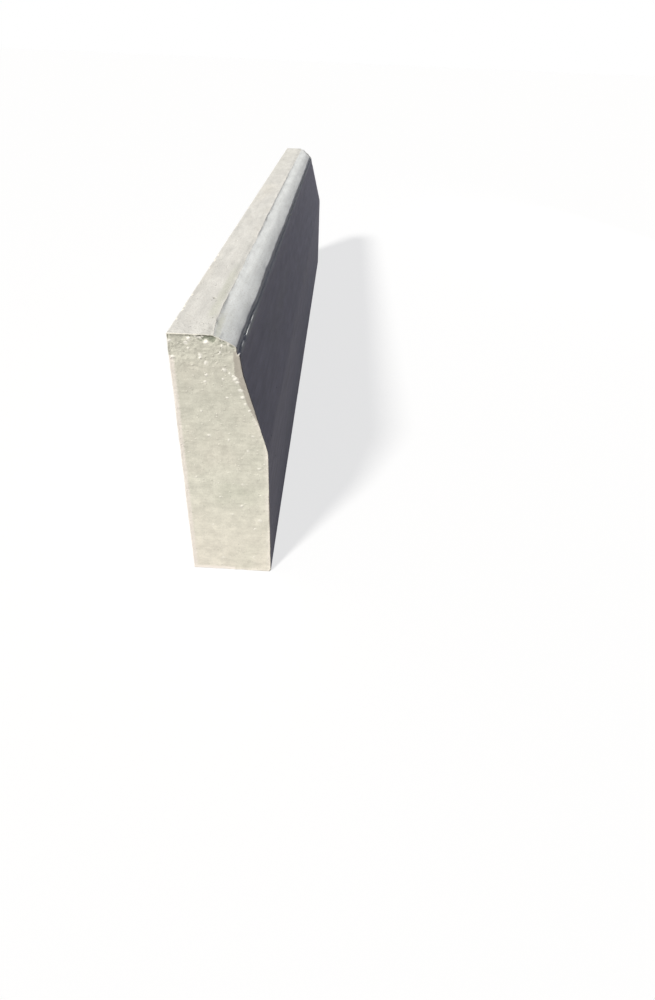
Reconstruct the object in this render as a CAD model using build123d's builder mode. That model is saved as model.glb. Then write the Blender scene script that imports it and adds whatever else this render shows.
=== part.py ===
"""Precast concrete kerb stone, sold as 914 x 255 x 75 mm.

One casting with the same section from end to end. The section has a flat crown, a smooth nose strip
that lies a step below it and bends down to an upright edge, a narrow ledge, a short upright land, a
face battered back at about 1 in 4, and an upright check that the road surface is laid against. The
back, the foot and the two ends are plane and square, so that kerbs butt together in a line.

Frame: X runs from the back face to the road face, Y along the kerb, Z up. The origin is on the
ground, at the middle of the foot.
"""

import os
from math import radians, tan

from build123d import *

# Overall sizes in millimetres.
kerb_length = 914
kerb_height = 255
foot_width = 75

# The crown is flat from the back face to the seam, where it drops to the nose strip. The drop leans
# out by its draft.
crown_width = 33
crown_step = 1.3
crown_step_draft = 2

# The nose strip slopes down from the seam by these degrees, and falls more steeply from its bend to
# its edge. The bend is this far from the foot of the drop, and the edge this far from the back face.
nose_slope = 14
nose_fall = 37
nose_bend_width = 10
nose_bend_radius = 40
nose_reach = 53.2
nose_edge_radius = 3.5

# A ledge runs out from the foot of the nose edge to the land, at this depth below the crown.
ledge_depth = 15.8
ledge_width = 1.5

# The land under the ledge is nearly upright: it leans back by its draft. The batter starts below it.
land_height = 18
land_draft = 7
land_foot_radius = 15

# The check is the upright face from the foot to the knee, where the batter starts.
check_height = 146
knee_radius = 40

# The mould leaves the long edges, the two lips beside the nose and the end outlines slightly eased.
long_arris_radius = 1.5
lip_radius = 0.8
end_arris = 0.6


def kerb_stone():
    """The casting: its section run over the kerb's length, with both ends eased."""
    back = -foot_width / 2
    road = foot_width / 2

    # Section points are written across the kerb and up.
    back_foot = (back, 0)
    road_foot = (road, 0)
    back_arris = (back, kerb_height)
    crown_lip = (back + crown_width, kerb_height)
    seam_foot = (crown_lip[0] + crown_step_draft, kerb_height - crown_step)

    bend_drop = nose_bend_width * tan(radians(nose_slope))
    nose_bend = (seam_foot[0] + nose_bend_width, seam_foot[1] - bend_drop)
    edge_across = back + nose_reach
    edge_drop = (edge_across - nose_bend[0]) * tan(radians(nose_fall))
    nose_edge = (edge_across, nose_bend[1] - edge_drop)

    ledge_root = (edge_across, kerb_height - ledge_depth)
    land_top = (ledge_root[0] + ledge_width, ledge_root[1])
    land_foot = (land_top[0] + land_height * tan(radians(land_draft)), land_top[1] - land_height)
    knee = (road, check_height)

    section_corners = [
        back_foot,
        back_arris,
        crown_lip,
        seam_foot,
        nose_bend,
        nose_edge,
        ledge_root,
        land_top,
        land_foot,
        knee,
        road_foot,
    ]
    eased_corners = {
        back_foot: long_arris_radius,
        road_foot: long_arris_radius,
        back_arris: long_arris_radius,
        crown_lip: lip_radius,
        nose_bend: nose_bend_radius,
        nose_edge: nose_edge_radius,
        land_top: lip_radius,
        land_foot: land_foot_radius,
        knee: knee_radius,
    }

    with BuildPart() as stone:
        with BuildSketch(Plane.XZ) as section:
            with BuildLine():
                Polyline(*section_corners, close=True)
            make_face()
            for corner, radius in eased_corners.items():
                fillet(section.vertices().sort_by_distance(corner)[0], radius)
        extrude(amount=kerb_length / 2, both=True)

        ends = stone.faces().sort_by(Axis.Y)
        chamfer([*ends[0].edges(), *ends[-1].edges()], end_arris)
    stone.part.label = "kerb_stone"
    return stone.part


os.makedirs("parts", exist_ok=True)
export_step(kerb_stone(), "parts/kerb_stone.step")
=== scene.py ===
"""Looks of a precast concrete kerb stone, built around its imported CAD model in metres.

The kerb stands on its foot on a pale floor: X from the back face to the road face, Y along the kerb, Z up.
"""

from math import acos, ceil, cos, pi, radians, sin, tan

import bmesh
import bpy
import numpy as np
from mathutils import Matrix, Vector, geometry, noise


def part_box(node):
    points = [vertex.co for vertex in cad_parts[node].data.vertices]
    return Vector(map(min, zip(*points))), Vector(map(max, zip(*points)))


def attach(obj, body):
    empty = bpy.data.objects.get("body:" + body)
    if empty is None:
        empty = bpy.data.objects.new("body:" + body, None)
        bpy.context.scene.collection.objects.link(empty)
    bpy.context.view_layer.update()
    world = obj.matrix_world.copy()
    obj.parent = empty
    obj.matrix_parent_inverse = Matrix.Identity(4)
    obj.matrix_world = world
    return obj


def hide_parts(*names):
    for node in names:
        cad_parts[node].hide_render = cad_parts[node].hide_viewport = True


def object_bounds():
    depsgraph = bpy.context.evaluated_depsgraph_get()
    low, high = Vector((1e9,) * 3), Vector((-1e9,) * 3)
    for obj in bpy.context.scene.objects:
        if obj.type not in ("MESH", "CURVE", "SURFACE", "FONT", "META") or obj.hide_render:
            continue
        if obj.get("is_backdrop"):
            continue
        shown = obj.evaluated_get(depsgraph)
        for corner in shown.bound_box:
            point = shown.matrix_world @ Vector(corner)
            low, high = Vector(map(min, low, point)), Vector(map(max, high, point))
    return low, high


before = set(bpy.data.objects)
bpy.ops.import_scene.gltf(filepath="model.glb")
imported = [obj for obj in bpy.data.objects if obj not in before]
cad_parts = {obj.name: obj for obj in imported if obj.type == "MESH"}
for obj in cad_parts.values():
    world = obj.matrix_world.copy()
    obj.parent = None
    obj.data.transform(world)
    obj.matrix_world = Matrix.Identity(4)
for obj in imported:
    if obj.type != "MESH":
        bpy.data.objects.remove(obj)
cad_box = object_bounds()
mm = 0.001

# The camera stands close to the near end, a little to the road side, and looks down along the kerb.
# It is the photograph's own view, found from the kerb's corners: a wide lens, held slightly rolled.
image_height = 1000
principal_height = 372
focal_length_px = 548.5
camera_place = (88.97 * mm, -819.01 * mm, 439.55 * mm)
camera_yaw = 0.0133
camera_pitch = 0.5283
camera_roll = 0.0436

view = bpy.data.cameras.new("view")
view.sensor_width = 36
view.lens = view.sensor_width * focal_length_px / image_height
view.shift_y = (principal_height - image_height / 2) / image_height
camera = bpy.data.objects.new("view", view)
camera.matrix_world = (
    Matrix.Translation(camera_place)
    @ Matrix.Rotation(camera_yaw, 4, "Z")
    @ Matrix.Rotation(pi / 2 - camera_pitch, 4, "X")
    @ Matrix.Rotation(camera_roll, 4, "Z")
)
bpy.context.scene.collection.objects.link(camera)
bpy.context.scene.camera = camera

# The kerb stone is one casting of pale concrete, tipped out of a steel mould. A round bar in the mould
# leaves the smooth nose strip, a step below the crown, which is struck off by hand. It is made here in
# millimetres, from the back bottom corner of the near end.
low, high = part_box("kerb_stone")
width, length, height = (high - low) / mm

crown_width = 33
crown_step = 1.3
crown_step_draft = 2
nose_slope = radians(14)
nose_fall = radians(37)
nose_bend_width = 10
nose_bend_radius = 40
nose_reach = 53.2
nose_edge_radius = 3.5
ledge_depth = 15.8
ledge_width = 1.5
land_height = 18
land_draft = radians(7)
land_foot_radius = 15
check_height = 146
knee_radius = 40
long_arris = 1.5
lip_radius = 0.8
seam_radius = 1

seam_foot = (crown_width + crown_step_draft, height - crown_step)
nose_bend = (seam_foot[0] + nose_bend_width, seam_foot[1] - nose_bend_width * tan(nose_slope))
nose_edge = (nose_reach, nose_bend[1] - (nose_reach - nose_bend[0]) * tan(nose_fall))
ledge_root = (nose_reach, height - ledge_depth)
land_top = (ledge_root[0] + ledge_width, ledge_root[1])
land_foot = (land_top[0] + land_height * tan(land_draft), land_top[1] - land_height)

# Each corner of the section, and the radius that eases it.
corners = [
    ((0, 0), long_arris),
    ((width, 0), long_arris),
    ((width, check_height), knee_radius),
    (land_foot, land_foot_radius),
    (land_top, lip_radius),
    (ledge_root, 0),
    (nose_edge, nose_edge_radius),
    (nose_bend, nose_bend_radius),
    (seam_foot, seam_radius),
    ((crown_width, height), lip_radius),
    ((0, height), long_arris),
]
# How far a round stretch may lie off its true arc, and the shortest side that the outline keeps.
flatness = 0.02
shortest_side = 0.05


def rounded(before, corner, after, radius):
    """Points round a corner of the section, from one tangent point to the other."""
    if radius == 0:
        return [Vector(corner)]
    into = (Vector(corner) - Vector(before)).normalized()
    out = (Vector(after) - Vector(corner)).normalized()
    turn = acos(max(-1, min(1, into.dot(out))))
    side = 1 if into.x * out.y - into.y * out.x > 0 else -1
    start = Vector(corner) - into * radius * tan(turn / 2)
    centre = start + Vector((-into.y, into.x)) * side * radius
    steps = ceil(turn / (2 * acos(1 - flatness / radius)))
    arm = start - centre
    return [centre + Matrix.Rotation(side * turn * i / steps, 2) @ arm for i in range(steps + 1)]


section = []
for i, (corner, radius) in enumerate(corners):
    arc = rounded(corners[i - 1][0], corner, corners[(i + 1) % len(corners)][0], radius)
    section.extend(p for p in arc if not section or (p - section[-1]).length > shortest_side)

# The section is divided into runs, and its rows along the kerb are joined up.
longest_run = 7
row_gap = 10
outline = []
for a, b in zip(section, section[1:] + section[:1]):
    runs = ceil((b - a).length / longest_run)
    outline.extend(a.lerp(b, i / runs) for i in range(runs))
edge_starts = np.array(outline)
edge_runs = np.roll(edge_starts, -1, axis=0) - edge_starts
casting = bmesh.new()
rows = [
    [casting.verts.new((p.x, y, p.y)) for p in outline]
    for y in np.linspace(0, length, round(length / row_gap) + 1)
]
for row, following in zip(rows, rows[1:]):
    for i in range(len(outline)):
        j = (i + 1) % len(outline)
        casting.faces.new((row[i], row[j], following[j], following[i]))


def rim_of(points):
    """For points across and up: how far in from the outline, the nearest place on it and its inward way."""
    at_once = 4000
    found = []
    for some in np.array_split(points, len(points) // at_once + 1):
        away = some[:, None] - edge_starts
        share = np.clip((away * edge_runs).sum(axis=2) / (edge_runs ** 2).sum(axis=1), 0, 1)
        gap = np.linalg.norm(away - share[:, :, None] * edge_runs, axis=2)
        best = gap.argmin(axis=1)
        each = np.arange(len(some))
        run = edge_runs[best]
        nearest = edge_starts[best] + share[each, best, None] * run
        along = run / np.linalg.norm(run, axis=1)[:, None]
        found.append(np.column_stack([gap[each, best], nearest, -along[:, 1], along[:, 0]]))
    return np.vstack(found)


# An even net of triangles fills each end.
net_gap = 3
net = [
    Vector((x + (row % 2) * net_gap / 2, z))
    for row, z in enumerate(np.arange(0, height, net_gap * sin(pi / 3)))
    for x in np.arange(0, width, net_gap)
]
net = [p for p, gap in zip(net, rim_of(np.array(net))[:, 0]) if gap > net_gap / 2]
inside_only = 1
merging = 0.001
filled = geometry.delaunay_2d_cdt(outline + net, [], [list(range(len(outline)))], inside_only, merging)
for y in (0, length):
    end_points = [casting.verts.new((p.x, y, p.y)) for p in filled[0]]
    for face in filled[2]:
        casting.faces.new([end_points[i] for i in face])
touching = 0.01
bmesh.ops.remove_doubles(casting, verts=casting.verts, dist=touching)
bmesh.ops.recalc_face_normals(casting, faces=casting.faces)
bmesh.ops.triangulate(casting, faces=casting.faces)
casting.verts.index_update()

# Stones that show in the near end, as across, up and radius. The line of them on the road side is the
# inner limit of a leaner skin of mortar, which the mould's face left.
near_stones = [
    (28.0, 248.6, 2.2), (24.6, 237.2, 1.7), (24.5, 235.2, 1.3), (3.1, 234.7, 1.6), (2.2, 248.4, 1.7),
    (42.3, 225.3, 2.1), (49.1, 219.6, 1.7), (50.4, 217.2, 2.2), (51.9, 214.4, 2.1), (54.3, 207.1, 2.1),
    (55.4, 200.6, 1.8), (57.4, 194.4, 1.3), (60.5, 188.2, 1.4), (21.7, 253.3, 1.3), (24.1, 251.9, 1.7),
    (26.1, 252.8, 1.0), (16.6, 250.8, 1.8), (39.5, 252.2, 1.3), (41.7, 250.7, 1.4), (46.5, 247.2, 1.6),
    (28.3, 230.7, 1.6), (26.4, 213.9, 1.4), (27.8, 220.0, 1.3), (25.9, 161.6, 1.8), (40.7, 246.0, 1.7),
    (38.4, 240.2, 1.6), (40.8, 217.0, 1.0), (14.3, 247.3, 1.6), (62.4, 162.7, 1.4), (42.2, 157.9, 1.3),
    (46.3, 222.2, 1.2), (43.1, 199.9, 1.2), (21.6, 185.8, 1.0), (16.0, 242.9, 1.3), (58.0, 147.0, 1.6),
    (66.9, 128.2, 1.6), (51.6, 110.0, 1.3), (50.2, 84.0, 1.8), (66.2, 67.0, 2.1), (41.2, 73.5, 1.2),
    (29.7, 16.4, 1.4), (31.4, 94.0, 1.0), (67.4, 97.6, 1.2), (61.0, 56.4, 1.3), (59.1, 19.3, 1.6),
    (11.7, 116.0, 1.2), (30.9, 110.6, 1.0), (71.3, 133.4, 1.0), (22.7, 59.3, 1.2),
]
# Hollows under the crown at the near end, where the mix was not pressed home, as across, up, half
# width, half height and depth.
near_hollows = [
    (0.6, 252.4, 2.0, 2.2, 0.7), (8.5, 251.6, 7.6, 3.6, 0.2), (16.5, 253.0, 3.0, 1.4, 0.3),
    (21.5, 252.4, 1.4, 1.6, 0.3), (26.8, 251.6, 3.8, 3.2, 0.8), (31.5, 251.6, 4.4, 3.4, 0.9),
    (38.5, 247.4, 9.0, 3.4, 0.22), (20.0, 246.5, 19.0, 4.0, 0.12),
    (42.6, 249.4, 4.0, 1.4, 0.4), (49.0, 246.0, 2.6, 1.6, 0.4),
]

# Blowholes, as the place of each mouth and its radius. The struck crown shows one beside the seam. The
# back face and the road face have more of them, and the far end a few.
chance = np.random.default_rng(41)


def road_face_at(z):
    """How far across the section reaches on its road side, at a height."""
    heights = [0, check_height, land_foot[1], land_top[1]]
    return float(np.interp(z, heights, [width, width, land_foot[0], land_top[0]]))


blowholes = [((21.7, 70.4, height), 1.5), ((11.0, 233.0, height), 1.1), ((27.5, 512.0, height), 1.2)]
smallest_hole = 0.9
for on_road, count, lowest, highest in ((False, 46, 8, 246), (True, 26, 8, 232)):
    for _ in range(count):
        z = chance.uniform(lowest, highest)
        radius = smallest_hole + 1.5 * chance.random() ** 2.5
        x = road_face_at(z) if on_road else 0
        blowholes.append(((x, chance.uniform(10, length - 10), z), radius))
far_end_holes = 14
for _ in range(far_end_holes):
    z = chance.uniform(12, 240)
    x = chance.uniform(5, road_face_at(z) - 5)
    blowholes.append(((x, length, z), chance.uniform(smallest_hole, 1.9)))

# Chips out of the arrises, as the centre of the round that each one follows and its radius. Each arris
# is given by its corner of the section, its outward way, how many chips it has, the most that they
# bite, and the radius that eases it. The ledge's lip is chipped only where no more than a stub of its
# fin is left.
slant = 0.71
stub_start = 260
arrises = [
    ((0, height), (-slant, slant), 40, 1.3, long_arris),
    ((0, 0), (-slant, -slant), 12, 1.4, long_arris),
    ((width, 0), (slant, -slant), 10, 1.4, long_arris),
    (land_top, (slant, slant), 9, 0.5, lip_radius),
]
chips = []
for corner, out, count, bite, eased in arrises:
    for _ in range(count):
        radius = chance.uniform(3, 8)
        reach = radius - chance.uniform(0.4, 1) * bite - 0.4 * eased
        y = chance.uniform(25, length - 8)
        if corner != land_top or y > stub_start:
            chips.append(((corner[0] + out[0] * reach, y, corner[1] + out[1] * reach), radius))
for y, out_y, count in ((0, -1, 8), (length, 1, 26)):
    for _ in range(count):
        on_rim = outline[chance.integers(len(outline))]
        radius = chance.uniform(2.5, 5)
        sideways = 1 if on_rim.x > width / 2 else -1
        reach = slant * (radius - chance.uniform(0.3, 1))
        chips.append(((on_rim.x + sideways * reach, y + out_y * reach, on_rim.y), radius))

# The far end has lost its nose corner, in two broad flakes. The rounds that they follow are wide, and
# their centres lie above the road and beyond the end.
long_flake = ((290.2, length + 20, 512.8), 363.6)
end_flake = ((150.2, length + 6, 256.8), 100.2)
chips += [long_flake, end_flake]

# The mesh is made finer where the surface has more to show: on the top, most of all on the crown and
# the ledge near the camera, on the ends, on the crust of the near end under the crown, and round the
# stones, hollows, blowholes and chips. A grain is the longest edge allowed in one of these places.
plain_grain = 13.0
top_grain = 5.7
crown_grain = 3.5
ledge_grain = 1.6
near_ends_grain = 1.3
lower_end_grain = 3.2
crust_grain = 0.8
stone_grain = 0.6
crown_near = 450
fin_near = 150
lower_end = 120
crust_depth = 5.5
fine_spots = [((x, 0, z), radius * 1.2, stone_grain) for x, z, radius in near_stones]
fine_spots += [((x, 0, z), max(a, b) * 1.2, stone_grain) for x, z, a, b, depth in near_hollows]
fine_spots += [(place, radius * 1.3, radius / 2.6) for place, radius in blowholes]
fine_spots += [(place, radius + 0.4, 1.1 + place[1] / 1000) for place, radius in chips]


def grain(points):
    """The longest edge allowed at each point."""
    x, y, z = points.T
    allowed = np.full(len(points), plain_grain)
    top = z > ledge_root[1] - 1
    allowed[top] = top_grain
    allowed[top & (x < crown_width + 4) & (y < crown_near)] = crown_grain
    allowed[top & (x > nose_reach - 1) & (y < fin_near)] = ledge_grain
    allowed = np.minimum(allowed, near_ends_grain + np.minimum(y, length - y) * 1.2)
    for end, inside, at_rim in ((0, 1.6, 1.1), (length, 3.2, 1.6)):
        on_end = np.abs(y - end) < touching
        rim_in = rim_of(np.column_stack([x[on_end], z[on_end]]))[:, 0]
        inner = np.where(z[on_end] < lower_end, lower_end_grain, inside)
        allowed[on_end] = np.minimum(inner, at_rim + rim_in * 0.4)
    crust_foot = height - crust_depth - np.maximum(0, x - 38) * 0.55
    allowed[(y < touching) & (z > crust_foot)] = crust_grain
    for place, reach, size in fine_spots:
        near = np.abs(y - place[1]) < reach + 10
        away = np.linalg.norm(points[near] - place, axis=1) - reach
        allowed[near] = np.minimum(allowed[near], size + 1.6 * np.maximum(0, away))
    return allowed


def halved(points, faces, settled):
    """The net with its long edges cut at their middles, and each triangle divided to suit."""
    sides = np.sort(np.stack([faces, np.roll(faces, -1, axis=1)], axis=2).reshape(-1, 2), axis=1)
    codes = sides[:, 0] * 2 ** 32 + sides[:, 1]
    names, first, which = np.unique(codes, return_index=True, return_inverse=True)
    edges = points[sides[first]]
    middles = edges.mean(axis=1)
    long = np.isin(names, settled, assume_unique=True, invert=True)
    long[long] = np.linalg.norm(edges[long, 0] - edges[long, 1], axis=1) > grain(middles[long])
    middle_of = np.full(len(edges), -1)
    middle_of[long] = len(points) + np.arange(long.sum())
    points = np.vstack([points, middles[long]])
    cut = middle_of[which.reshape(-1, 3)]
    cuts = (cut >= 0).sum(axis=1)
    made = [faces[cuts == 0]]

    # Each triangle is turned, so that its cut side comes first, or its uncut side last.
    for number, turn in ((1, cut.argmax(axis=1)), (2, cut.argmin(axis=1) + 1), (3, np.zeros(len(cut), int))):
        order = (np.arange(3) + turn[:, None])[cuts == number] % 3
        a, b, c = np.take_along_axis(faces[cuts == number], order, axis=1).T
        ab, bc, ca = np.take_along_axis(cut[cuts == number], order, axis=1).T
        if number == 1:
            made += [np.column_stack([a, ab, c]), np.column_stack([ab, b, c])]
        if number == 2:
            one_way = np.linalg.norm(points[a] - points[bc], axis=1)
            other_way = np.linalg.norm(points[ab] - points[c], axis=1)
            short = one_way < other_way
            made += [
                np.column_stack([ab, b, bc]),
                np.column_stack([a, ab, np.where(short, bc, c)]),
                np.column_stack([np.where(short, a, ab), bc, c]),
            ]
        if number == 3:
            made += [
                np.column_stack([a, ab, ca]), np.column_stack([ab, b, bc]),
                np.column_stack([ca, bc, c]), np.column_stack([ab, bc, ca]),
            ]
    return points, np.vstack(made), names[~long]


points = np.array([v.co for v in casting.verts])
faces = np.array([[v.index for v in f.verts] for f in casting.faces])
casting.free()
settled = np.zeros(0, int)
sweeps = 7
for _ in range(sweeps):
    points, faces, settled = halved(points, faces, settled)
mesh = bpy.data.meshes.new("kerb")
mesh.from_pydata(points.tolist(), [], faces.tolist())
mesh.shade_smooth()
outward = np.array([v.vector for v in mesh.vertex_normals])
x, y, z = points.T.copy()
from_end = np.minimum(y, length - y)
near_end = y < touching
far_end = y > length - touching
on_end = near_end | far_end


def lumps(size, seed, stretch=1):
    """Noise from -1 to 1 over the casting, in lumps of about that size, drawn out along the kerb."""
    shift = 7.31 * seed
    places = np.column_stack([x / size, y / (size * stretch), z / size]) + shift
    return np.array([noise.noise(p) for p in places.tolist()])


def ramp(value, start, end):
    """0 below the start, 1 above the end and a smooth rise between."""
    share = np.clip((value - start) / (end - start), 0, 1)
    return share * share * (3 - 2 * share)


def swell(value, middle, spread):
    """1 at the middle, and fading evenly to 0 on both sides of it."""
    return np.exp(-(((value - middle) / spread) ** 2))


# Where each finish lies: the crown, the smooth faces that the mould formed, the back, the foot. They
# meet this far from the arrises.
meeting = 0.6
crown = ~on_end & (z > height - 1) & (x < crown_width + meeting)
formed = ~on_end & (x > crown_width + meeting) & (z > meeting)
back = ~on_end & (x < long_arris) & (z < height - meeting) & (z > meeting)
foot = ~on_end & (z < meeting)

# The seam wanders a little as it runs from the near end to the far end.
seam_at = [0, 5, 14, 29, 49, 80, 112, 160, 245, 393, 642, length]
seam_drift = [2.4, 1.7, 0.3, -0.5, -1.4, -1.5, -1.2, -2.0, -1.6, -2.4, -2.4, -1.6]
drift = np.interp(y, seam_at, seam_drift) + 0.9 * lumps(12, 1, 2) + 0.7 * lumps(4, 2, 1.5)
drift = drift * ramp(x, crown_width - 12, crown_width - 1)
drift = drift * (1 - ramp(x, crown_width + 3, crown_width + 10)) * (z > ledge_root[1])
moved = points.copy()
moved[:, 0] += drift

# The nose's edge wanders too, by less.
waver = 0.9 * lumps(30, 25, 2) + 0.6 * lumps(9, 26, 2)
waver = waver * ramp(x, nose_bend[0] - 1, nose_reach - 1.2) * ramp(z, ledge_root[1], ledge_root[1] + 3)
moved[:, 0] += ~on_end * waver

# The crown's edge beside it is crisp in some stretches, with a dragged strip behind it, and rubbed down
# in others.
crisp_at = [0, 30, 60, 90, 235, 280, 600, 720, length]
crispness = [0.35, 0.6, 0.8, 0.25, 0.2, 0.8, 0.8, 0.35, 0]
rub_depth = 1.15
drag_depth = 0.25
dragged_at = 28
crisp = np.interp(y, crisp_at, crispness) + 0.5 * lumps(14, 24)
crisp = np.clip(crisp, 0, 1) * (1 - 0.8 * ramp(y, 700, 880))
above_foot = np.clip((z - seam_foot[1]) / crown_step, 0, 1)
rubbed = (1 - crisp) * ramp(x, crown_width - 5, crown_width) * above_foot * ~on_end
moved[:, 2] -= rub_depth * rubbed + drag_depth * crisp * crown * swell(x, dragged_at, 3)

# The outline of each end is worn round. The near end's is worn most on the road side above the middle,
# and more in these places, given by their side, height, spread and depth.
rim_in, rim_x, rim_z, way_x, way_z = rim_of(np.column_stack([x, z])).T
near_part = y < 20
road_side = ramp(rim_x, 50, 56) * near_part
back_side = ramp(-rim_x, -3, 0) * near_part
worn_places = [
    (road_side, 243, 5, 2.2), (road_side, 227, 6, 0.5), (road_side, 197, 4, 0.3), (road_side, 166, 5, 0.7),
    (back_side, 198, 14, 1.1), (back_side, 112, 7, 1.1), (back_side, 146, 6, 0.5),
]
least_worn = 0.35
most_worn = 3.2
worn = 0.8 + 1.1 * np.maximum(0, lumps(16, 3)) + 0.5 * lumps(5, 4)
for side, up, spread, more in worn_places:
    worn += side * more * swell(rim_z, up, spread)
worn = np.clip(worn - 0.9 * road_side * (1 - ramp(rim_z, 134, 200)), least_worn, most_worn)
along_rim = np.where(on_end, rim_in, -from_end) / worn
angle = pi / 4 * (1 + np.clip(along_rim, -1, 1))
at_arris = (rim_in < touching) | on_end
rounding = (np.abs(along_rim) < 1) & at_arris
inward = worn * (1 - np.cos(angle))
endward = worn * (1 - np.sin(angle))
moved[rounding, 0] = (rim_x + way_x * inward + drift)[rounding]
moved[rounding, 2] = (rim_z + way_z * inward)[rounding]
moved[rounding, 1] = np.where(y < length / 2, endward, length - endward)[rounding]

# The skin: slow waves of the mould's plates, the struck crown's drag marks and the ends' open texture.
# Each finish starts a little inside its own limits, so that it meets the next one evenly.
fade = 2.5
inset = ramp(from_end, 0, fade)
crown_share = crown * inset * ramp(x, 1, 4) * (1 - ramp(x, crown_width - 2.5, crown_width + 0.5))
end_share = on_end * ramp(rim_in, 0, fade) * (1 + 0.5 * ramp(z, height - 45, height - 8))
formed_share = formed * inset * ramp(x, crown_width + meeting, crown_width + 4) * ramp(z, meeting, 4)
back_share = back * inset * ramp(z, 1, 4) * ramp(height - z, 1, 4)
foot_share = foot * inset * ramp(x, 1, 4) * ramp(width - x, 1, 4)
drag_marks = 0.14 * (1 + lumps(11, 6, 2)) + 0.13 * lumps(4, 7) + 0.08 * lumps(1.9, 8)
open_texture = 0.24 * (1 + lumps(13, 9)) + 0.22 * np.abs(lumps(5, 10)) + 0.12 * lumps(2.2, 11)
plate_waves = 0.05 * (1 + lumps(30, 12, 5)) + 0.04 * lumps(5, 13, 9)
back_waves = 0.08 * (1 + lumps(24, 14)) + 0.05 * lumps(5, 15)
foot_dents = 0.15 * (1 + lumps(16, 16)) + 0.12 * lumps(5, 17)
sink = 0.1 * (1 + lumps(90, 5))
sink += crown_share * drag_marks
sink += end_share * open_texture
sink += formed_share * plate_waves
sink += back_share * back_waves
sink += foot_share * foot_dents
for axis in range(3):
    moved[:, axis] -= np.maximum(0, sink) * outward[:, axis]

# Mortar squeezed out where two plates of the mould met leaves a broken fin along the ledge's lip. It
# is whole in its first stretch and rubbed away beyond it, and a low stub of it comes back farther on.
fin_width = 0.7
fin_height = 2.4
stub_share = 0.3
lip = ramp(x, nose_reach - 0.1, nose_reach + 0.5) * ramp(z, land_top[1] - 2.4, land_top[1] - 0.9)
lip *= ~on_end & (x < land_top[0] + 1)
unbroken = ramp(lumps(11, 18, 2) + 0.5 * lumps(3.5, 19), -0.75, -0.25)
fin = unbroken * (ramp(y, 4, 13) * (1 - ramp(y, 70, 110)) + stub_share * ramp(y, 220, stub_start))
moved[:, 0] += (fin_width + 0.4 * lumps(6, 28)) * lip * fin
moved[:, 2] += (fin_height + 0.5 * lumps(4, 27)) * lip * fin

# The hollows under the crown, with ragged limits, and the stones that stand a little out of the end. A
# hollow is painted darker the deeper it is, full at dark_depth: painted shade under the crown, with dirt.
dark_depth = 0.8
hollow = np.zeros(len(points))
deepest = np.zeros(len(points))
ragged = 0.4 * lumps(3.5, 20) + 0.25 * lumps(1.6, 21)
for across, up, half_width, half_height, depth in near_hollows:
    reach = np.hypot((x - across) / half_width, (z - up) / half_height) + ragged
    share = near_end * (1 - ramp(reach, 0.35, 1.3)) * ramp(rim_in, 0.1, 1.6)
    hollow = np.maximum(hollow, share * min(1, depth / dark_depth))
    deepest = np.maximum(deepest, share * depth)
moved[:, 1] += deepest
proud_by = 0.2
stone = np.full(len(points), -1.0)
for across, up, radius in near_stones:
    turn = chance.uniform(0, pi)
    narrow = chance.uniform(0.55, 0.95)
    arm_x = (x - across) * cos(turn) + (z - up) * sin(turn)
    arm_z = (z - up) * cos(turn) - (x - across) * sin(turn)
    reach = np.hypot(arm_x, arm_z / narrow) / radius
    stone = np.maximum(stone, np.where(near_end, 1 - reach, -1))
proud = np.clip(stone * 2, 0, 1) * near_end
moved[:, 1] -= proud * np.minimum(moved[:, 1], proud_by)

# A blowhole is a little shallower than half a ball.
hole_depth = 0.75
pit = np.full(len(points), -1.0)
for place, radius in blowholes:
    reach = np.linalg.norm(points - place, axis=1) / radius
    pit = np.maximum(pit, 1 - reach)
    depth = hole_depth * radius * np.sqrt(np.clip(1 - reach ** 2, 0, 1))
    moved -= depth[:, None] * outward

# A chip follows its round, and its own surface is uneven.
chipped = np.zeros(len(points))
chip_way = np.zeros(points.shape)
for place, radius in chips:
    arm = moved - place
    reach = np.linalg.norm(arm, axis=1)
    inside = reach < radius
    chipped[inside] = 1
    chip_way[inside] = arm[inside] / reach[inside, None]
    moved[inside] = place + radius * chip_way[inside]
broken = chipped > 0
for size, rise in ((7, 0.7), (2.5, 0.3)):
    uneven = [rise * noise.noise(p) for p in (moved[broken] / size).tolist()]
    moved[broken] += np.array(uneven)[:, None] * chip_way[broken]

moved = np.clip(moved, 0.0, (width, length, height))
mesh.vertices.foreach_set("co", (np.array(low) + moved * mm).ravel())
mesh.update()
kerb = bpy.data.objects.new("kerb", mesh)
bpy.context.scene.collection.objects.link(kerb)

# What the concrete's finish reads over the surface. The near end has a leaner skin of mortar along its
# road side, outside a limit that is given here by its heights and how far across it lies there. The
# end has a pale rim too, strongest at the back.
skin_limit = [
    (56, 78), (62, 73.6), (98, 73.6), (104, 75), (122, 75), (130, 78), (138, 75.6), (146, 73.8),
    (158, 73.2), (165, 71), (172, 68), (180, 64.3), (187, 61.2), (195, 58.1), (204, 55.8), (211, 53.5),
    (220, 49.3), (241, 49.5),
]
skin_fade = 3
skin_top = 242
skin_heights, skin_starts = zip(*skin_limit)
skin = np.where(z < skin_top, (x - np.interp(z, skin_heights, skin_starts)) / skin_fade, -1) * near_end
rim_width = 5.2
rim_top = 236
rim_strength = np.where(x > 40, 0.4 + 0.5 * lumps(25, 29), 1.25)
pale_rim = near_end * (1 - rim_in / rim_width) * (z < rim_top) * rim_strength

# The road face starts under the nose's edge. The ledge and its fin are left nearly as pale as the nose, a
# painted highlight for the thin streak of light along the ledge.
road_face = formed * ramp(x, 51.6, 53) * (1 - 0.8 * ramp(z, 237.5, 239)) * (1 - 0.9 * lip * fin)
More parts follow.
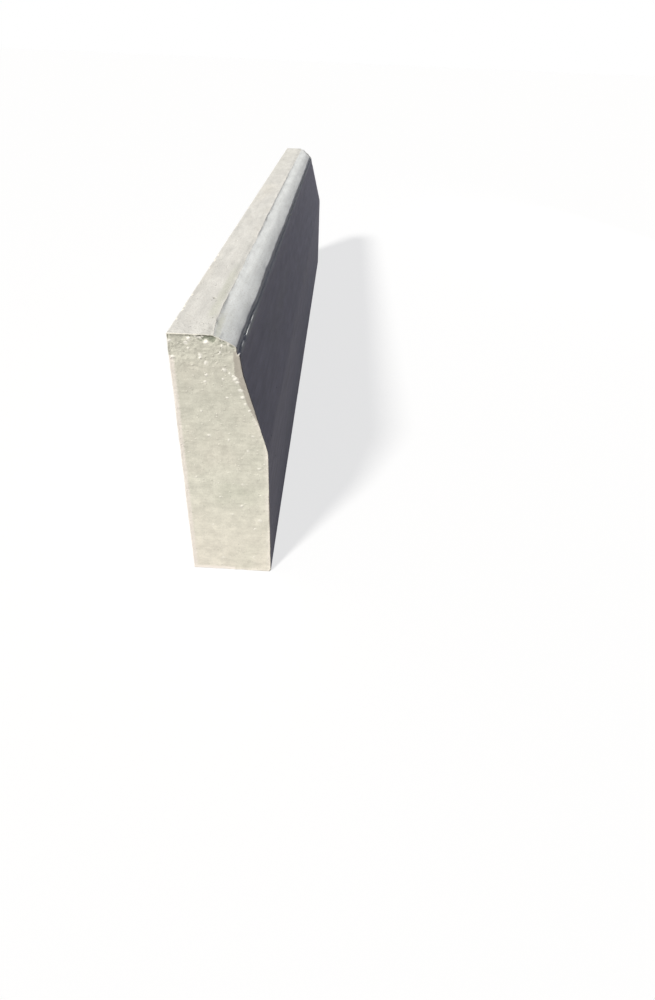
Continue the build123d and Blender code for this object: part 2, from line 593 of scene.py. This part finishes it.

# Damp darkens the dragged strip of the crown, and the head of the nose strip beside it. The groove of
# the seam is darkened where the crown's edge is crisp, most of all in one open stretch: dirt, with painted
# shade under the edge.
damp = crown * swell(x, dragged_at, 5) * ramp(y, 15, 45) * (1 - ramp(y, 110, 190))
damp += formed * swell(x, 36.5, 2.5) * (z > height - 4) * (1 - ramp(y, 25, 60))
open_stretch = swell(y, 38, 30)
groove = swell(x, crown_width + 1.2 + 0.6 * open_stretch, 0.9 + 1.0 * open_stretch)
groove *= (crisp + 1.5 * open_stretch) * ~on_end * (z > height - 4)
arris_wear = np.clip(1 - np.abs(along_rim), 0, 1) * at_arris
finish = {
    "formed": formed, "ends": on_end, "hollow": hollow, "stone": stone, "pit": pit, "road": road_face,
    "chipped": chipped, "skin": skin, "arris_wear": arris_wear, "top": near_end * ramp(z, 232, 250),
    "damp": damp, "rim": pale_rim, "groove": groove,
}
for name, value in finish.items():
    layer = mesh.attributes.new(name, "FLOAT", "POINT")
    layer.data.foreach_set("value", np.asarray(value, dtype=np.float32))


class Wire:
    """A socket of a material's nodes, on which sums add their Math nodes."""

    def __init__(self, tree, socket):
        self.tree = tree
        self.socket = socket

    def node(self, kind, settings, inputs, output=0):
        """Add a node: its settings first, then its inputs, each a number, a colour or another wire."""
        made = self.tree.nodes.new(kind)
        for name, setting in settings.items():
            setattr(made, name, setting)
        for name, given in inputs.items():
            if isinstance(given, Wire):
                self.tree.links.new(given.socket, made.inputs[name])
            else:
                made.inputs[name].default_value = given
        return Wire(self.tree, made.outputs[output])

    def other(self, output):
        """Another output of the node that this wire comes from."""
        return Wire(self.tree, self.socket.node.outputs[output])

    def sum(self, operation, first, second):
        """One sum on two numbers or wires."""
        return self.node("ShaderNodeMath", {"operation": operation}, {0: first, 1: second})

    def __add__(self, other):
        return self.sum("ADD", self, other)

    def __sub__(self, other):
        return self.sum("SUBTRACT", self, other)

    def __mul__(self, other):
        return self.sum("MULTIPLY", self, other)

    __radd__ = __add__
    __rmul__ = __mul__

    def __rsub__(self, other):
        return self.sum("SUBTRACT", other, self)

    def rise(self, start, end):
        """0 below the start, 1 above the end, and a smooth rise between."""
        inputs = {0: self, 1: start, 2: end, 3: 0.0, 4: 1.0}
        return self.node("ShaderNodeMapRange", {"interpolation_type": "SMOOTHSTEP"}, inputs)

    def mix(self, share, other):
        """This colour, with a share of the other one."""
        return self.node("ShaderNodeMix", {"data_type": "RGBA"}, {0: share, 6: self, 7: other}, 2)

    def lit(self, times):
        """This colour, so many times as bright."""
        return self.node("ShaderNodeVectorMath", {"operation": "SCALE"}, {0: self, "Scale": times})

    def drawn(self, x, y, z):
        """These places, with what lies on them drawn out that many times along each axis."""
        inputs = {0: self, 1: (1 / x, 1 / y, 1 / z)}
        return self.node("ShaderNodeVectorMath", {"operation": "MULTIPLY"}, inputs)

    def cloud(self, size, detail, roughness):
        """Noise about 0.5, in lumps of about that size in millimetres."""
        inputs = {"Vector": self, "Scale": 1 / (size * mm), "Detail": detail, "Roughness": roughness}
        return self.node("ShaderNodeTexNoise", {}, inputs)

    def grains(self, size):
        """How far from the middle of grains of about that size. Its other output 1 is each one's chance."""
        return self.node("ShaderNodeTexVoronoi", {}, {"Vector": self, "Scale": 1 / (size * mm)})

    def red(self):
        """The first part of this colour."""
        return self.node("ShaderNodeSeparateColor", {}, {0: self})

    def painted(self, name):
        """What was worked out over the surface under that name."""
        return self.node("ShaderNodeAttribute", {"attribute_name": name}, {}, 2)


concrete = bpy.data.materials.new("concrete")
concrete.use_nodes = True
tree = concrete.node_tree
here = Wire(tree, tree.nodes.new("ShaderNodeTexCoord").outputs["Object"])
level = here.node("ShaderNodeSeparateXYZ", {}, {0: here}).other(2)
mould_face = here.painted("formed")
road = here.painted("road")
ends = here.painted("ends")
open_face = 1 - mould_face

# The paste: struck and bleached all over to begin with, then sandy on the ends, and close and cool where
# steel formed it. The road face's paste is darker and bluer, partly painted shade. The ends are warmer at
# their foot, painted light bounced from the floor. Slow patches of it are damp or warm.
struck_paste = (0.775, 0.76, 0.71, 1)
sandy_paste = (0.715, 0.70, 0.60, 1)
nose_paste = (0.875, 0.895, 0.88, 1)
road_paste_with_painted_shade = (0.625, 0.61, 0.68, 1)
end_foot_bounce_paste = (0.80, 0.72, 0.63, 1)
damp_paste = (0.61, 0.615, 0.51, 1)
warm_paste = (0.78, 0.73, 0.63, 1)
lengthwise = here.drawn(1, 4, 1)
slow = lengthwise.cloud(60, 3.0, 0.6)
blotch = lengthwise.cloud(9, 3.0, 0.6)
raised = level.rise(0.0, 0.12)
colour = here.mix(1.0, struck_paste)
colour = colour.mix(ends, sandy_paste)
colour = colour.mix(mould_face, nose_paste)
# The road face takes a darker, bluer paste, partly painted shade on the face that the sun doesn't reach.
colour = colour.mix(road, road_paste_with_painted_shade)
colour = colour.mix(ends * (1 - raised) * 0.35, end_foot_bounce_paste)
colour = colour.mix(slow.rise(0.5, 0.75) * (0.15 + ends * (0.22 + 0.3 * raised)), damp_paste)
colour = colour.mix((1 - slow.rise(0.28, 0.5)) * open_face * 0.35, warm_paste)
colour = colour.lit(0.76 + 0.48 * blotch)
# The ends are lit up towards their foot and darkened towards their top: painted bounce light from the floor.
colour = colour.lit(1 + ends * (0.09 - 0.17 * level.rise(0.01, height * mm)))

# The steel leaves faint streaks along the kerb, and the struck ends drag marks across it.
streaks = here.drawn(1, 30, 1).cloud(3.5, 3.0, 0.65)
drags = here.drawn(12, 1, 1).cloud(2.4, 2.0, 0.6)
colour = colour.lit(1 + (streaks - 0.5) * mould_face * 0.3 + (drags - 0.5) * ends * 0.16)

# The mix: sand all through it, and pale and grey stones where the paste is open.
pale_stone = (0.86, 0.83, 0.73, 1)
grey_stone = (0.42, 0.42, 0.38, 1)
sand = here.cloud(0.8, 2.0, 0.7)
mottle = lengthwise.cloud(3.2, 3.0, 0.7)
near_top = here.painted("top")
sandy = (sand - 0.5) * (0.16 + 0.2 * open_face)
# Towards the top of the near end the paste is also a little darker, painted shade under the crown's edge.
mottled = (mottle - 0.5) * (0.22 * open_face + 0.5 * near_top) - 0.06 * near_top
stones = here.grains(3.2)
stone_colour = stones.other(1)
stone_chance = stone_colour.red()
showing = (1 - stones.rise(0.16, 0.26)) * stone_chance.rise(0.62, 0.7)
grey_chance = stone_chance.other(1).rise(0.86, 0.9)
colour = colour.lit(1 + sandy + mottled)
colour = colour.mix(showing * ends * 0.6, pale_stone)
colour = colour.mix((1 - stones.rise(0.12, 0.2)) * grey_chance * open_face * 0.55, grey_stone)

# Painted shade in fine pores and in the blowholes' insides, dirt and painted shade in the seam's groove, and
# dirt and painted shade in the hollows under the crown.
dirt_and_painted_shade = (0.20, 0.20, 0.16, 1)
hollow_dirt_and_shade = (0.22, 0.24, 0.18, 1)
pores = here.grains(4.1)
pore_chance = pores.other(1).red()
pore_middle = 1 - (pores - 0.12 * pore_chance * pore_chance).rise(0.0, 0.05)
pore = pore_middle * (0.25 + 0.75 * open_face - 0.6 * ends)
seam_break = lengthwise.cloud(7, 2.0, 0.6).rise(0.3, 0.62)
fray = here.cloud(1.3, 2.0, 0.6) - 0.5
colour = colour.mix(pore * 0.6, dirt_and_painted_shade)
colour = colour.mix(here.painted("pit").rise(-0.05, 0.2) * 0.85, dirt_and_painted_shade)
# The seam's groove: dirt and painted shade.
colour = colour.mix(here.painted("groove") * (0.3 + 0.7 * seam_break) * 0.13, dirt_and_painted_shade)
# Painted shade and dirt in the hollows under the crown.
colour = colour.mix((here.painted("hollow") + fray * 0.5).rise(0.08, 0.75) * 0.85, hollow_dirt_and_shade)

# Broken and worn places are paler and sandier. The lean skin is darker, its own tone with painted shade
# for the worn band that faces away from the light. Damp and dry patches lie on the crown beside the seam.
# The stones of the near end stand in all of it.
rim_paste = (0.93, 0.86, 0.79, 1)
lean_skin_and_shade_paste = (0.44, 0.405, 0.35, 1)
worn_paste = (0.84, 0.79, 0.71, 1)
chip_paste = (0.74, 0.70, 0.60, 1)
dry_paste = (0.96, 0.94, 0.88, 1)
proud_stone = (0.96, 0.93, 0.85, 1)
flecks = here.cloud(2.6, 3.0, 0.65) - 0.5
damp_patch = here.painted("damp")
bare_stone = (here.painted("stone") + flecks * 1.5 + fray * 0.4).rise(-0.5, 0.6)
colour = colour.mix((here.painted("rim") + fray).rise(0.0, 0.7) * 0.85, rim_paste)
colour = colour.mix((here.painted("skin") + fray * 0.9).rise(0.0, 0.35) * 0.85, lean_skin_and_shade_paste)
colour = colour.mix((here.painted("arris_wear") + fray * 0.8).rise(0.3, 0.8) * 0.5, worn_paste)
colour = colour.mix(here.painted("chipped") * 0.5, chip_paste)
colour = colour.mix((damp_patch + flecks * 1.2).rise(0.1, 1.0) * 0.6, damp_paste)
colour = colour.mix(damp_patch * (fray + flecks).rise(0.12, 0.25) * 0.6, dry_paste)
colour = colour.mix(bare_stone * (0.5 + 0.4 * level.rise(0.12, 0.22)), proud_stone)

relief = (
    sand * (0.05 + 0.16 * open_face)
    + blotch * 0.25 * open_face
    + showing * ends * 0.18
    + streaks * mould_face * 0.06
    + drags * ends * 0.12
    - pore * 0.5
)
bump = here.node("ShaderNodeBump", {}, {"Height": relief, "Distance": mm, "Strength": 0.8})
roughness = 0.92 - (mould_face - 0.8 * road) * (0.3 - 0.2 * blotch)
principled = tree.nodes["Principled BSDF"]
principled.inputs["Specular IOR Level"].default_value = 0.2
tree.links.new(colour.socket, principled.inputs["Base Color"])
tree.links.new(roughness.socket, principled.inputs["Roughness"])
tree.links.new(bump.socket, principled.inputs["Normal"])
mesh.materials.append(concrete)
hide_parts("kerb_stone")
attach(kerb, "root")

# The floor is a wide pale studio floor that the kerb stands on. The camera sees it nearly white, with
# the kerb's pale shadow. To the light it is dark, so that it throws little back onto the kerb.
floor_half = 30
floor_corners = [
    (-floor_half, -floor_half, 0), (floor_half, -floor_half, 0),
    (floor_half, floor_half, 0), (-floor_half, floor_half, 0),
]
floor_mesh = bpy.data.meshes.new("floor")
floor_mesh.from_pydata(floor_corners, [], [(0, 1, 2, 3)])
floor = bpy.data.objects.new("floor", floor_mesh)
bpy.context.scene.collection.objects.link(floor)
floor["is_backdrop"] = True


def looked_at(tree):
    """1 for rays that see a thing, straight or by a shine or through glass, and 0 for those that light."""
    path = Wire(tree, tree.nodes.new("ShaderNodeLightPath").outputs["Is Camera Ray"])
    return path + path.other("Is Glossy Ray") + path.other("Is Transmission Ray")


floor_paint = bpy.data.materials.new("floor")
floor_paint.use_nodes = True
tree = floor_paint.node_tree
tree.nodes.clear()
floor_bounce = (0.11, 0.105, 0.10, 1)
shadow_share = 0.25
seen = looked_at(tree)
bounce = seen.node("ShaderNodeBsdfDiffuse", {}, {"Color": floor_bounce})
glow = seen.node("ShaderNodeEmission", {}, {"Strength": 1.0})
shadowed = seen.node("ShaderNodeBsdfDiffuse", {}, {"Color": (1, 1, 1, 1)})
studio = seen.node("ShaderNodeMixShader", {}, {0: shadow_share, 1: glow, 2: shadowed})
surface = seen.node("ShaderNodeMixShader", {}, {0: seen, 1: bounce, 2: studio})
tree.links.new(surface.socket, tree.nodes.new("ShaderNodeOutputMaterial").inputs[0])
floor_mesh.materials.append(floor_paint)

# The light is one soft sun from the left, the front and above, a weak lamp and a weak cool sky.
sun_from = Vector((-0.42, -0.62, 0.66))
sun = bpy.data.lights.new("key", "SUN")
sun.energy = 4.4
sun.angle = radians(9)
sun.color = (1, 0.98, 0.94)
key = bpy.data.objects.new("key", sun)
key.matrix_world = sun_from.to_track_quat("Z", "Y").to_matrix().to_4x4()
bpy.context.scene.collection.objects.link(key)

# The lamp, far off on the road side, lights the far half of the shaded road face a little.
lamp_place = Vector((0.9, 0.85, 0.4))
lamp_aim = Vector((0.04, 0.4, 0.18))
lamp = bpy.data.lights.new("far lamp", "AREA")
lamp.size = 0.5
lamp.energy = 0.7
lamp.color = (0.86, 0.9, 1)
far_lamp = bpy.data.objects.new("far lamp", lamp)
far_lamp.location = lamp_place
far_lamp.rotation_euler = (lamp_place - lamp_aim).to_track_quat("Z", "Y").to_euler()
bpy.context.scene.collection.objects.link(far_lamp)

# The sky lights the kerb weakly, and the camera sees it white.
sky_blue = (0.64, 0.70, 1.0, 1)
sky_strength = 0.08
world = bpy.data.worlds.new("sky")
bpy.context.scene.world = world
world.use_nodes = True
tree = world.node_tree
tree.nodes.clear()
seen = looked_at(tree)
cool = seen.node("ShaderNodeBackground", {}, {"Color": sky_blue, "Strength": sky_strength})
white = seen.node("ShaderNodeBackground", {}, {"Color": (1, 1, 1, 1)})
surface = seen.node("ShaderNodeMixShader", {}, {0: seen, 1: cool, 2: white})
tree.links.new(surface.socket, tree.nodes.new("ShaderNodeOutputWorld").inputs[0])

# Colours are shown as they are worked out.
bpy.context.scene.view_settings.view_transform = "Standard"

size = {"cad": [list(c) for c in cad_box], "visual": [list(c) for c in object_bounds()]}
